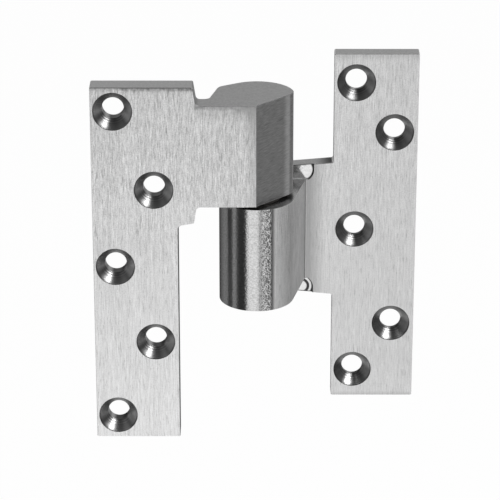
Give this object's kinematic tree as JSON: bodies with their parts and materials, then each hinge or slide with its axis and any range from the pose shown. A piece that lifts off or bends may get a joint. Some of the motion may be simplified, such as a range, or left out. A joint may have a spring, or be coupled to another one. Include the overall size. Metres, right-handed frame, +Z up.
{
  "type": "offset pivot hinge",
  "caption": "Offset intermediate pivot hinge for a heavy door: flat door leaf with arm and upper knuckle, jamb leaf with lower barrel, pivot pin and flanged bush.",
  "frame": {"origin": "centre of the jamb leaf's back face, which lies against the door frame", "axes": "+Y out of the jamb leaf's back face, +Z up along the pivot axis, +X from the pivot towards the jamb leaf"},
  "size_m": [0.1096, 0.0341, 0.1291],
  "materials": {
    "door_leaf": "satin chrome with upright brush lines",
    "jamb_leaf": "satin chrome leaf, brighter turned barrel",
    "pivot_pin": "ground and hardened steel",
    "bearing_bush": "sintered bronze"
  },
  "bodies": {
    "jamb": {"jamb_leaf": "jamb_leaf", "pivot_pin": "pivot_pin"},
    "door": {"door_leaf": "door_leaf", "bearing_bush": "bearing_bush"}
  },
  "joints": [
    {"name": "pivot", "type": "hinge", "parent": "jamb", "child": "door", "pos_m": [-0.0405, -0.0214, 0], "axis": [0, 0, 1], "range_deg": [0, 180]}
  ]
}
